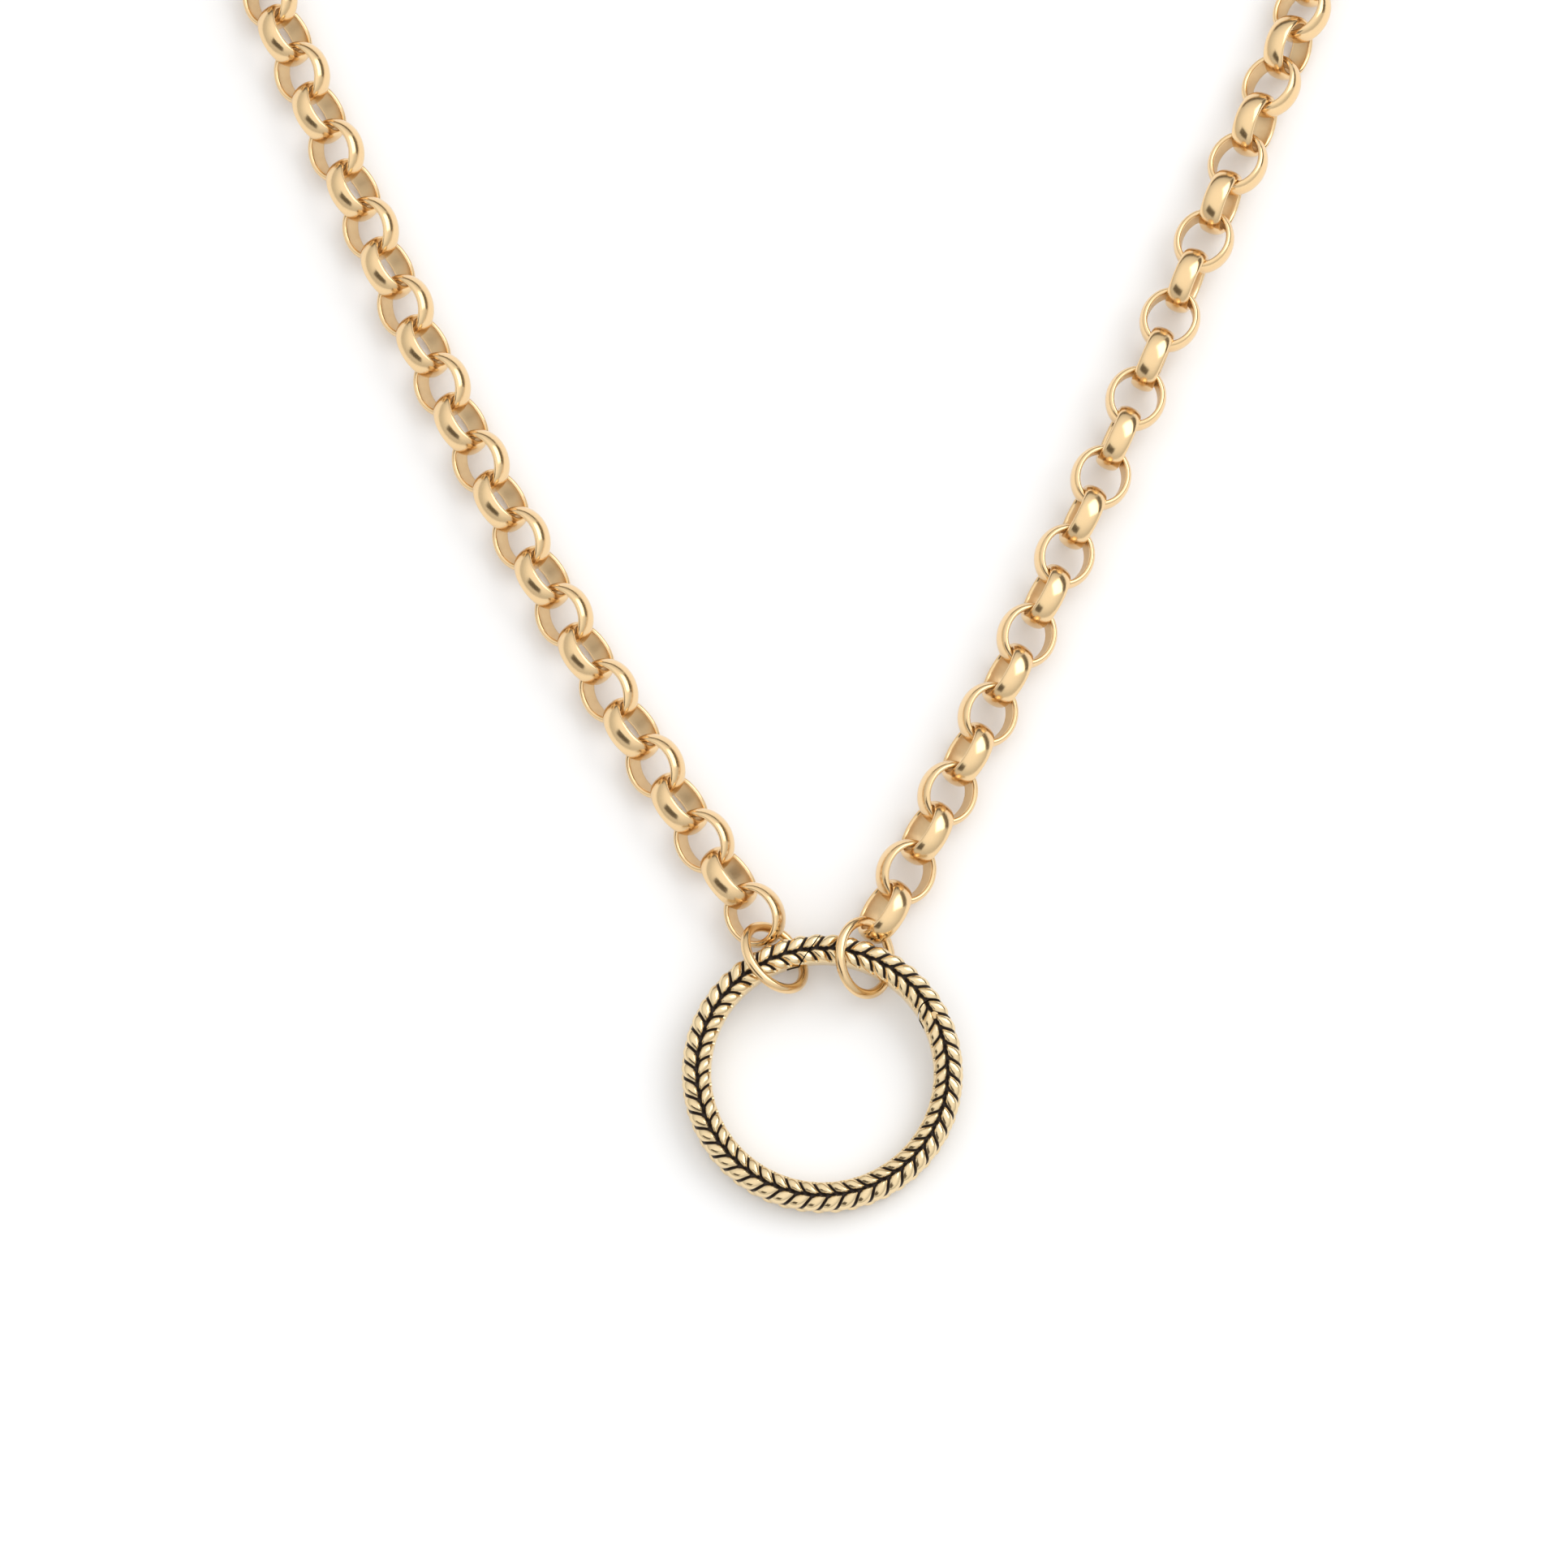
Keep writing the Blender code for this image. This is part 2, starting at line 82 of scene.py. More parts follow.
# Jump rings: the wire, the radius of its middle line, and the soldered line's depth and width in steps
WIRE, JUMP_RADIUS = 0.9, 3.25
WIRE_STEPS, WIRE_SIDES = 96, 24
SOLDER_DEPTH, SOLDER_STEPS = 0.03, 0.8
LEFT_SOLDER_WAY, RIGHT_SOLDER_WAY = Vector((1, 1, 0)), Vector((1, -0.3, 0))

# Ring clasp. The slit's skew is in degrees for each millimetre inwards
RING_RADIUS, RING_BAND, RING_HEIGHT = 12.5, 2.7, 2.8
MID_RADIUS = RING_RADIUS - RING_BAND / 2
SECTION_POWER = 3.2
HINGE_ANGLE = 27.0
SLIT_ANGLE, SLIT_SKEW = 96.2, 4.4
SEAM = 0.10

# Its carving: leaves on either side of a deep groove, on the face and on the back. The slants are how
# far a leaf lags along the ring from its groove to the row's end, in leaves
LEAVES, LEAF_STEPS = 50, 18
OUTER_STEPS, INNER_STEPS, BORE_STEPS = 16, 12, 8
FACE_GROOVE, BORE_EDGE = 94.0, 150.0
OUTER_SLANT, INNER_SLANT, SLANT_POWER = 0.80, 0.62, 1.6
LEAF_DEPTH, GROOVE_DEPTH = 0.36, 0.44
RIM_DEPTH, BORE_EDGE_DEPTH = 0.20, 0.04
PLUMP_POWER = 0.75
TIP_START, TIP_CURVE, TIP_LENGTH = 0.01, 0.08, 0.10
ROW_END_START, ROW_END_LENGTH = 0.84, 0.16

# Its patina: the depth where it starts and how much deeper it is full, and what the sawn walls get
PATINA_START, PATINA_RISE = 0.13, 0.15
WALL_DEPTH, WALL_PATINA = 0.62, 0.35

# The cuts that part the gate from the body: the body's round shoulder and the hollow that the gate has
# for it, a height and two radii that clear the band, and how far the slit's cut overshoots
BODY_SHOULDER, GATE_SHOULDER, SHOULDER_STEPS = 1.34, 1.47, 20
CUT_HEIGHT, CUT_OUTSIDE, CUT_INSIDE, CUT_FAN = 6.0, 16.0, 6.5, 12.0
SLIT_OVERSHOOT = 3.0

# Inside the clasp: discs about the hinge as (radius, height), and blocks as two opposite corners, in
# the hinge's frame (spring pocket and web) or in the slit's (the others)
EAR_SLOT, KNUCKLE, PIN_HOLE, PIN = (1.42, 1.2), (1.15, 0.9), (0.42, 4.0), (0.36, 2.3)
SPRING_POCKET = (-3.6, -0.35, -0.5), (-1.2, 0.35, 0.5)
WEB = (0.4, -0.6, -0.41), (2.4, 0.6, 0.41)
LATCH_POCKET = (-0.45, -0.4, -0.42), (2.6, 0.85, 0.42)
TONGUE_POCKET = (-0.44, -1.1, -0.36), (0.54, 0.4, 0.36)
TONGUE = (-0.32, -0.95, -0.24), (0.42, 0.55, 0.24)
TONGUE_EDGE, PIN_EDGE, SPRING_EDGE = 0.09, 0.08, 0.015
SPRING_START, SPRING_LENGTH, SPRING_BOW, SPRING_STEPS = -3.4, 2.1, 0.07, 24
SPRING_THICK, SPRING_WIDE = 0.10, 0.64

# Floor, light and camera, in metres. The tent's wall is dimmer at the horizon than overhead
FLOOR_REACH, FLOOR_DROP = 3.0, 0.0001
TENT_LOW, TENT_HIGH = 0.62, 1.12
LIT_MIDDLE = Vector((0, -0.03, 0))
KEY_PLACE, KEY_SIZE, KEY_POWER = Vector((0.48, 0.20, 0.50)), 0.60, 1.75
DARK_CARDS = (
    ("dark_front", (0.50, 0.26), Vector((-0.30, -0.36, 0.33))),
    ("dark_right", (0.46, 0.22), Vector((0.46, 0.20, 0.11))),
    ("dark_back", (0.62, 0.11), Vector((0, 0.42, 0.055))),
)
CAMERA_LENS, CAMERA_SENSOR = 200, 36
CAMERA_ELEVATION, CAMERA_DISTANCE = 74, 0.780
AIM_FROM_RING = Vector((-3.4, 26.7, 0)) * MM


# ---------------------------------------------------------------- helpers

def smooth(x):
    """An eased rise from 0 to 1, level before and after."""
    x = min(max(x, 0.0), 1.0)
    return x * x * (3 - 2 * x)


def polar(radius, angle, z=0.0):
    a = math.radians(angle)
    return Vector((radius * math.cos(a), radius * math.sin(a), z))


def turned(axis, along):
    """A turn whose +Z is axis and whose +X is along, made square to it."""
    axis = axis.normalized()
    along = (along - along.dot(axis) * axis).normalized()
    return Matrix((along, axis.cross(along), axis)).transposed().to_4x4()


def pivot(joint):
    return Vector(JOINTS[joint]["pos_m"])


def middle_of(node):
    low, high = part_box(node)
    return (low + high) / 2


def add_object(name, data, matrix=None):
    made = bpy.data.objects.new(name, data)
    bpy.context.scene.collection.objects.link(made)
    made.matrix_world = matrix or Matrix.Identity(4)
    return made


def modified_mesh(item):
    """The mesh that an object's modifiers make of its own."""
    graph = bpy.context.evaluated_depsgraph_get()
    graph.update()
    return bpy.data.meshes.new_from_object(item.evaluated_get(graph))


def grid_faces(rows, columns):
    """Quads over a grid that closes both ways."""
    return [(a * columns + b, a * columns + (b + 1) % columns,
             (a + 1) % rows * columns + (b + 1) % columns, (a + 1) % rows * columns + b)
            for a in range(rows) for b in range(columns)]


def finish_mesh(mesh, sharp):
    """Shades a mesh smooth, apart from edges that bend by more than an angle."""
    mesh.validate()
    mesh.shade_smooth()
    mesh.set_sharp_from_angle(angle=math.radians(sharp))
    return mesh


def show(name, mesh, matrix, body, nodes):
    """Places a finished mesh in the frame, ties it to its body and hides the CAD nodes that it stands for.
    """
    piece = add_object(name, mesh, matrix)
    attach(piece, body)
    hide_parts(*nodes)


# ---------------------------------------------------------------- materials

class Shader:
    """A Principled material with a few helpers for wiring textures into it."""

    COLOUR_INPUTS, COLOUR_OUTPUT = (6, 7), 2

    def __init__(self, name, colour, roughness, metallic=1.0):
        self.material = bpy.data.materials.new(name)
        self.material.use_nodes = True
        self.tree = self.material.node_tree
        self.principled = self.tree.nodes["Principled BSDF"]
        self.principled.inputs["Base Color"].default_value = (*colour, 1.0)
        self.principled.inputs["Roughness"].default_value = roughness
        self.principled.inputs["Metallic"].default_value = metallic
        self.place = self.add("ShaderNodeTexCoord").outputs["Object"]

    def add(self, kind, **inputs):
        node = self.tree.nodes.new(kind)
        for key, value in inputs.items():
            node.inputs[key.replace("_", " ")].default_value = value
        return node

    def link(self, source, target):
        self.tree.links.new(source, target)

    def noise(self, scale, detail=3.0, stretch=(1, 1, 1)):
        spread = self.add("ShaderNodeMapping", Scale=stretch)
        self.link(self.place, spread.inputs["Vector"])
        texture = self.add("ShaderNodeTexNoise", Scale=scale, Detail=detail, Roughness=0.6)
        self.link(spread.outputs["Vector"], texture.inputs["Vector"])
        return texture.outputs["Fac"]

    def ramp(self, source, low, high, start, end):
        """A value from low to high turned into one from start to end."""
        node = self.add("ShaderNodeMapRange", From_Min=low, From_Max=high, To_Min=start, To_Max=end)
        self.link(source, node.inputs["Value"])
        return node.outputs["Result"]

    def mix(self, factor, first, second):
        """Two colours, or two sockets, mixed by a factor."""
        node = self.add("ShaderNodeMix")
        node.data_type = "RGBA"
        self.link(factor, node.inputs["Factor"])
        for value, number in zip((first, second), self.COLOUR_INPUTS):
            if isinstance(value, tuple):
                node.inputs[number].default_value = (*value, 1.0)
            else:
                self.link(value, node.inputs[number])
        return node.outputs[self.COLOUR_OUTPUT]

    def ragged(self, source, noise, amount):
        """A value with a share of some noise added."""
        node = self.add("ShaderNodeMath")
        node.operation = "MULTIPLY_ADD"
        self.link(noise, node.inputs[0])
        node.inputs[1].default_value = amount
        self.link(source, node.inputs[2])
        return node.outputs["Value"]

    def bump(self, height, strength, distance, under=None):
        node = self.add("ShaderNodeBump", Strength=strength, Distance=distance)
        self.link(height, node.inputs["Height"])
        if under:
            self.link(under, node.inputs["Normal"])
        return node.outputs["Normal"]

    def set(self, name, source):
        self.link(source, self.principled.inputs[name])


def polished_gold():
    """Mirror polish with the faint waviness and hairlines that a polishing wheel leaves."""
    shader = Shader("visual_polished_gold", (0.86, 0.61, 0.33), 0.16)
    wave = shader.noise(520.0, 2.0)
    hairline = shader.noise(5200.0, 4.0, (1, 6, 6))
    shader.set("Base Color", shader.mix(shader.noise(260.0), (0.90, 0.66, 0.37), (0.86, 0.61, 0.33)))
    shader.set("Roughness", shader.ramp(hairline, 0.35, 0.7, 0.15, 0.24))
    normal = shader.bump(wave, 0.25, 0.00006)
    shader.set("Normal", shader.bump(hairline, 0.04, 0.00002, under=normal))
    return shader.material


def satin_gold():
    """The flat inside of the bands, drawn and tumbled but not polished."""
    shader = Shader("visual_satin_gold", (0.80, 0.56, 0.30), 0.4)
    grain = shader.noise(2600.0, 5.0, (1, 1, 5))
    shader.set("Base Color", shader.mix(shader.noise(700.0), (0.84, 0.63, 0.37), (0.77, 0.55, 0.30)))
    shader.set("Roughness", shader.ramp(grain, 0.3, 0.7, 0.30, 0.46))
    shader.set("Normal", shader.bump(grain, 0.18, 0.00003))
    return shader.material


def carved_gold():
    """Polished leaves with a dark brown patina left in the grooves. How much of it is kept on the mesh."""
    shader = Shader("visual_carved_gold", (0.84, 0.65, 0.38), 0.2)
    patina = shader.add("ShaderNodeAttribute")
    patina.attribute_name = "patina"
    edge = shader.ragged(patina.outputs["Fac"], shader.noise(2400.0), 0.30)
    dark = shader.ramp(edge, 0.42, 0.72, 0.0, 1.0)
    gold = shader.mix(shader.noise(420.0), (0.88, 0.70, 0.43), (0.82, 0.63, 0.36))
    shader.set("Base Color", shader.mix(dark, gold, (0.028, 0.016, 0.010)))
    shader.set("Roughness", shader.ramp(dark, 0.0, 1.0, 0.17, 0.55))
    shader.set("Metallic", shader.ramp(dark, 0.0, 1.0, 1.0, 0.35))
    shader.set("Normal", shader.bump(shader.noise(5200.0, 4.0), 0.08, 0.00002))
    return shader.material


def painted_shade_walls():
    """Painted shade on the walls that the saw left, of the slit and the pockets: rough, never polished,
    and near black so that the seam reads as a dark line.
    """
    shader = Shader("visual_sawn_walls_painted_shade", (0.09, 0.055, 0.03), 0.5)
    grain = shader.noise(3000.0, 4.0, (6, 1, 1))
    shader.set("Base Color", shader.mix(grain, (0.13, 0.08, 0.045), (0.05, 0.03, 0.018)))
    shader.set("Roughness", shader.ramp(grain, 0.3, 0.7, 0.42, 0.6))
    return shader.material


def fitting_gold():
    """The clasp's pin, spring and tongue, with the marks of turning and rolling."""
    shader = Shader("visual_clasp_fittings", (0.72, 0.52, 0.27), 0.3)
    marks = shader.noise(3800.0, 4.0, (1, 1, 8))
    shader.set("Base Color", shader.mix(shader.noise(900.0), (0.78, 0.57, 0.31), (0.66, 0.46, 0.23)))
    shader.set("Roughness", shader.ramp(marks, 0.3, 0.7, 0.22, 0.36))
    shader.set("Normal", shader.bump(marks, 0.12, 0.00002))
    return shader.material


def dull(name, colour, noise_scale):
    """Paper or card."""
    shader = Shader(name, colour, 0.9, metallic=0.0)
    shader.set("Roughness", shader.ramp(shader.noise(noise_scale), 0.0, 1.0, 0.85, 0.95))
    return shader.material


# ---------------------------------------------------------------- chain bands

def band_profile():
    """The D, as (out from the hole, along the hole's axis, whether the stretch after it is the flat)."""
    flat = [(0.0, up, True) for up in np.linspace(-FLAT_WIDE / 2, FLAT_WIDE / 2, FLAT_POINTS)]
    flat[-1] = (0.0, FLAT_WIDE / 2, False)
    rounding = [(out, up, False) for out, up in FLAT_ROUNDING]
    dome = []
    for i in range(DOME_STEPS + 1):
        a = math.radians(90 - 180 * i / DOME_STEPS)
        out = DOME_START + (BAND_THICK - DOME_START) * math.cos(a)
        dome.append((out, BAND_WIDE / 2 * math.sin(a), False))
    return flat + rounding + dome + [(out, -up, False) for out, up, _ in reversed(rounding)]


def band_mesh():
    """One oval band about its own middle: +X along the chain, +Z the hole's axis."""
    profile = band_profile()
    points = []
    for i in range(BAND_STEPS):
        a = 2 * math.pi * i / BAND_STEPS
        for out, up, _ in profile:
            points.append(((HOLE_LONG + out) * math.cos(a), (HOLE_WIDE + out) * math.sin(a), up))
    faces = grid_faces(BAND_STEPS, len(profile))
    inside = [int(profile[k % len(profile)][2]) for k in range(len(faces))]
    return points, faces, inside


def bands_mesh(name, matrices, polish, satin):
    """Several bands in one mesh, each placed by its own matrix in millimetres."""
    points, faces, inside = band_mesh()
    all_points, all_faces = [], []
    for k, matrix in enumerate(matrices):
        all_points += [matrix @ Vector(p) * MM for p in points]
        all_faces += [tuple(i + k * len(points) for i in face) for face in faces]
    mesh = bpy.data.meshes.new(name)
    mesh.from_pydata(all_points, [], all_faces)
    mesh.materials.append(polish)
    mesh.materials.append(satin)
    mesh.polygons.foreach_set("material_index", inside * len(matrices))
    return finish_mesh(mesh, sharp=50)


def chain_bands(polish, satin):
    """A band on every link body. The joint is at its inner end, about its hole's axis before the roll."""
    mesh = bands_mesh("belcher_band", [Matrix.Identity(4)], polish, satin)
    for node in sorted(frame["nodes"]):
        if not node.startswith("link_"):
            continue
        middle = middle_of(node)
        along = middle - pivot(node + "_swing")
        roll = 0.0
        if "_left_" in node:
            roll = LEFT_ROLL * smooth((int(node[-2:]) - 1) / LEFT_ROLL_BANDS)
        around = Matrix.Rotation(math.radians(-roll), 4, along.normalized())
        turn = turned(Vector(JOINTS[node + "_swing"]["axis"]), along)
        matrix = Matrix.Translation(middle) @ around @ turn
        show(node.replace("link_", "belcher_band_"), mesh, matrix, node, [node])


# ---------------------------------------------------------------- hidden back of the chain

def bezier(points, t):
    """A point on a cubic curve and the way it runs there."""
    a, b, c, d = points
    s = 1 - t
    spot = s ** 3 * a + 3 * s * s * t * b + 3 * s * t * t * c + t ** 3 * d
    way = 3 * (s * s * (b - a) + 2 * s * t * (c - b) + t * t * (d - c))
    return spot, way.normalized()


class Route:
    """A curve that is walked by its length."""

    def __init__(self, points):
        self.samples = [bezier(points, i / ROUTE_SAMPLES) for i in range(ROUTE_SAMPLES + 1)]
        self.lengths = [0.0]
        for (p, _), (q, _) in zip(self.samples, self.samples[1:]):
            self.lengths.append(self.lengths[-1] + (q - p).length)

    def at(self, length):
        k = max(min(bisect.bisect_left(self.lengths, length), len(self.lengths) - 1), 1)
        share = (length - self.lengths[k - 1]) / (self.lengths[k] - self.lengths[k - 1])
        (p, v), (q, w) = self.samples[k - 1], self.samples[k]
        return p.lerp(q, share), v.lerp(w, share).normalized()


def band_height(tilt):
    """How high the chain's middle lies, on the flatter and the steeper bands' lowest points."""
    lean = abs(tilt) % 180
    lean = min(lean, 180 - lean)
    lean = math.radians(max(lean, 90 - lean))
    return max((HOLE_WIDE + out) * math.sin(lean) + up * math.cos(lean) for out, up, _ in band_profile())


def back_route(side):
    """The hidden back of a strand, from its last visible band to the nape."""
    word = "left" if side < 0 else "right"
    last = max(node for node in frame["nodes"] if node.startswith(f"link_{word}_"))
    middle = middle_of(last) / MM
    along = middle - pivot(last + "_swing") / MM
    along = Vector((along.x, along.y, 0)).normalized()
    ring = pivot(RING_JOINT) / MM
    start = Vector((middle.x, middle.y, 0))
    end = Vector((ring.x + NAPE_ASIDE, ring.y + NAPE_HEIGHT - (NAPE_STEP if side > 0 else 0), 0))
    reach = NAPE_REACH * abs(end.x - start.x) / math.cos(math.radians(NAPE_LEAN))
    return Route([start, start + reach * along, end + Vector((side * reach, 0, 0)), end])


def back_matrices(side):
    """Where the hidden bands of a strand lie. side is -1 for the left strand, +1 for the right one."""
    route = back_route(side)
    steps = sum(BACK_RUNS) + NAPE_GAP
    pitch = route.lengths[-1] / steps
    first_tilt = LEFT_BACK_TILT if side < 0 else RIGHT_BACK_TILT
    matrices = []
    for band in range(1, sum(BACK_RUNS) + 1):
        spot, way = route.at(band * pitch)
        share = band / steps
        spot.y += side * NAPE_STEP / 2 * smooth(2 * share - 1)
        tilt = -side * (first_tilt + (NAPE_TILT - first_tilt) * share)
        leads = (band % 2 == 1) == (side < 0)
        lean = math.radians(tilt if leads else tilt + 90)
        axis = math.cos(lean) * Z_AXIS + math.sin(lean) * Z_AXIS.cross(way)
        spot.z = band_height(tilt)
        matrices.append(Matrix.Translation(spot) @ turned(axis, way))
    return matrices


def back_bands(polish, satin):
    for side, word in ((-1, "left"), (1, "right")):
        matrices, done = back_matrices(side), 0
        for number, count in enumerate(BACK_RUNS, 1):
            node = f"back_chain_{word}_{number}"
            mesh = bands_mesh(node + "_bands", matrices[done:done + count], polish, satin)
            show(node + "_bands", mesh, Matrix.Identity(4), node, [node])
            done += count


# ---------------------------------------------------------------- jump rings

def wire_ring_mesh(name, polish):
    """Round wire bent to a ring, with the fine line where its ends are soldered."""
    points = []
    for i in range(WIRE_STEPS):
        a = 2 * math.pi * i / WIRE_STEPS
        seam = SOLDER_DEPTH * math.exp(-((min(i, WIRE_STEPS - i) / SOLDER_STEPS) ** 2))
        for k in range(WIRE_SIDES):
            b = 2 * math.pi * k / WIRE_SIDES
            reach = JUMP_RADIUS + (WIRE / 2 - seam) * math.cos(b)
            points.append((reach * math.cos(a), reach * math.sin(a), (WIRE / 2 - seam) * math.sin(b)))
    mesh = bpy.data.meshes.new(name)
    mesh.from_pydata([Vector(p) * MM for p in points], [], grid_faces(WIRE_STEPS, WIRE_SIDES))
    mesh.materials.append(polish)
    return finish_mesh(mesh, sharp=60)


def plane_of(node):
    """The middle of a flat round node and the axis that it is thinnest along."""
    points = np.array([v.co for v in frame["nodes"][node].data.vertices], float)
    middle = points.mean(0)
    _, axes = np.linalg.eigh(np.cov((points - middle).T))
    return Vector(middle), Vector(axes[:, 0])


def jump_rings(polish):
    mesh = wire_ring_mesh("wire_ring", polish)
    for side, solder_way in (("left", LEFT_SOLDER_WAY), ("right", RIGHT_SOLDER_WAY)):
        node = f"jump_ring_{side}"
        middle, axis = plane_of(node)
        matrix = Matrix.Translation(middle) @ turned(axis, solder_way)
        show(node + "_wire", mesh, matrix, node, [node])


# ---------------------------------------------------------------- carved ring, in the ring's own frame

def section_reach(angle):
    """How far the uncarved section reaches from its middle, at an angle from outwards to up."""
    a = math.radians(angle)
    wide = abs(math.cos(a)) / (RING_BAND / 2)
    high = abs(math.sin(a)) / (RING_HEIGHT / 2)
    return (wide ** SECTION_POWER + high ** SECTION_POWER) ** (-1 / SECTION_POWER)


def stations():
    """Round the section, as (angle, share of the row from its groove, slant, stagger, depth at its end).

    The bore between the carved rows is smooth. It has no row, so its share is None.
    """
    outwards = [i / OUTER_STEPS for i in range(OUTER_STEPS)]
    inwards = [i / INNER_STEPS for i in range(INNER_STEPS)]
    row = BORE_EDGE - FACE_GROOVE
    bore = 2 * (180 - BORE_EDGE) / BORE_STEPS
    face_outer = [(FACE_GROOVE * (1 - t), t, OUTER_SLANT, 0.0, RIM_DEPTH) for t in outwards]
    back_outer = [(-FACE_GROOVE * s, 1 - s, OUTER_SLANT, 0.5, RIM_DEPTH) for s in outwards]
    back_inner = [(-FACE_GROOVE - row * t, t, INNER_SLANT, 0.0, BORE_EDGE_DEPTH) for t in inwards]
    smooth_bore = [(-BORE_EDGE - bore * i, None, INNER_SLANT, 0.0, BORE_EDGE_DEPTH)
                   for i in range(BORE_STEPS)]
    face_inner = [(FACE_GROOVE + row * (1 - s), 1 - s, INNER_SLANT, 0.5, BORE_EDGE_DEPTH)
                  for s in inwards]
    return face_outer + back_outer + back_inner + smooth_bore + face_inner


def leaf_depth(across, t, end_depth):
    """How deep the carving is: across one leaf from 0 to 1, and t from the groove to the row's end."""
    edge = abs(2 * across - 1)
    plump = max(math.sin(math.pi * across), 0.0) ** PLUMP_POWER
    tip = smooth((t - TIP_START - TIP_CURVE * edge ** 2) / TIP_LENGTH)
    depth = LEAF_DEPTH * (1 - plump * tip) + (GROOVE_DEPTH - LEAF_DEPTH) * (1 - tip)
    ending = smooth((t - ROW_END_START) / ROW_END_LENGTH)
    return depth * (1 - ending) + end_depth * ending


def carved_ring_mesh():
    """The whole ring. Its mesh lines follow the leaves, so each groove runs along one of them."""
    points = []
    section = stations()
    for i in range(LEAVES * LEAF_STEPS):
        for angle, t, slant, stagger, end_depth in section:
            lag = slant * (1 - (1 - (1.0 if t is None else t)) ** SLANT_POWER)
            turn = 360 / LEAVES * (i / LEAF_STEPS - lag)
            across = (i / LEAF_STEPS + stagger) % 1.0
            depth = end_depth if t is None else leaf_depth(across, t, end_depth)
            reach = section_reach(angle) - depth
            a = math.radians(angle)
            points.append(polar(MID_RADIUS + reach * math.cos(a), turn, reach * math.sin(a)))
    mesh = bpy.data.meshes.new("carved_ring")
    mesh.from_pydata(points, [], grid_faces(LEAVES * LEAF_STEPS, len(section)))
    return mesh


def carve_finish(mesh):
    """Keeps on the mesh how much patina each point has, by its depth under the uncarved surface."""
    amounts = []
    for vertex in mesh.vertices:
        p = vertex.co
        out = math.hypot(p.x, p.y) - MID_RADIUS
        depth = section_reach(math.degrees(math.atan2(p.z, out))) - math.hypot(out, p.z)
        amounts.append(WALL_PATINA if depth > WALL_DEPTH else smooth((depth - PATINA_START) / PATINA_RISE))
    patina = mesh.attributes.new("patina", "FLOAT", "POINT")
    patina.data.foreach_set("value", amounts)
    mesh.transform(Matrix.Scale(MM, 4))
    return finish_mesh(mesh, sharp=55)


# ---------------------------------------------------------------- clasp, cut and fitted in the same frame

def prism(name, outline, low, high):
    """An upright prism over a flat outline."""
    count = len(outline)
    points = [(x, y, z) for z in (low, high) for x, y in outline]
    faces = [tuple(reversed(range(count))), tuple(range(count, 2 * count))]
    faces += [(i, (i + 1) % count, count + (i + 1) % count, count + i) for i in range(count)]
    mesh = bpy.data.meshes.new(name)
    mesh.from_pydata(points, [], faces)
    return mesh


def disc(name, radius, height, steps=48):
    turns = [2 * math.pi * i / steps for i in range(steps)]
    outline = [(radius * math.cos(a), radius * math.sin(a)) for a in turns]
    return prism(name, outline, -height / 2, height / 2)


def block(name, low, high):
    outline = [(low[0], low[1]), (high[0], low[1]), (high[0], high[1]), (low[0], high[1])]
    return prism(name, outline, low[2], high[2])


def cut(base, gold, walls, steps):
    """base, a mesh, cut or joined with other meshes in order. Each step is (operation, mesh, matrix)."""
    base.materials.append(gold)
    target = add_object("cut_base", base)
    tools = []
    for operation, mesh, matrix in steps:
        # A tool with no finish of its own gives its cut faces the wall material, which is painted near
        # black as shade
        if not mesh.materials:
            mesh.materials.append(walls)
        tool = add_object("cut_tool", mesh, matrix)
        tools.append(tool)
        modifier = target.modifiers.new("cut", "BOOLEAN")
        modifier.operation = operation
        modifier.object = tool
        modifier.solver = "MANIFOLD"
        modifier.material_mode = "TRANSFER"
    result = modified_mesh(target)
    for item in [target, *tools]:
        bpy.data.objects.remove(item)
    return result


def softened(mesh, width):
    """A mesh with its edges rounded off by a small bevel."""
    item = add_object("softened", mesh)
    bevel = item.modifiers.new("round", "BEVEL")
    bevel.width = width
    bevel.segments = 3
    result = modified_mesh(item)
    bpy.data.objects.remove(item)
    return result


def slit_line():
    """The slit's outer and inner ends, its way inwards, and the way across it into the ring body."""
    half = RING_BAND / 2
    outer = polar(RING_RADIUS, SLIT_ANGLE - SLIT_SKEW * half)
    inner = polar(RING_RADIUS - RING_BAND, SLIT_ANGLE + SLIT_SKEW * half)
    along = (inner - outer).normalized()
    return outer, inner, along, Vector((along.y, -along.x, 0))


def slit_matrix():
    """The slit's frame: +X along the slit towards the bore, +Y from the gate into the ring body."""
    outer, inner, along, across = slit_line()
    turn = Matrix((along, across, -Z_AXIS)).transposed().to_4x4()
    return Matrix.Translation((inner + outer) / 2) @ turn


def hinge_matrix():
    """The hinge's frame: +X along the ring into the gate, +Z the ring's axis."""
    turn = Matrix.Rotation(math.radians(HINGE_ANGLE + 90), 4, "Z")
    return Matrix.Translation(polar(MID_RADIUS, HINGE_ANGLE)) @ turn


def gate_prism(name, shoulder, slit_shift):
    """The gate's place, from a round shoulder at the hinge to the slit."""
    hinge = polar(MID_RADIUS, HINGE_ANGLE)
    arc = [hinge + polar(shoulder, HINGE_ANGLE + 180 - 180 * i / SHOULDER_STEPS)
           for i in range(SHOULDER_STEPS + 1)]
    outer, inner, along, across = slit_line()
    slit = [outer - SLIT_OVERSHOOT * along, inner + SLIT_OVERSHOOT * along]
    outside = [polar(CUT_OUTSIDE, HINGE_ANGLE + CUT_FAN * i) for i in range(5)]
    inside = [polar(CUT_INSIDE, HINGE_ANGLE + CUT_FAN * i) for i in range(5, -1, -1)]
    points = arc + outside + [end + slit_shift * across for end in slit] + inside
    return prism(name, [(p.x, p.y) for p in points], -CUT_HEIGHT / 2, CUT_HEIGHT / 2)


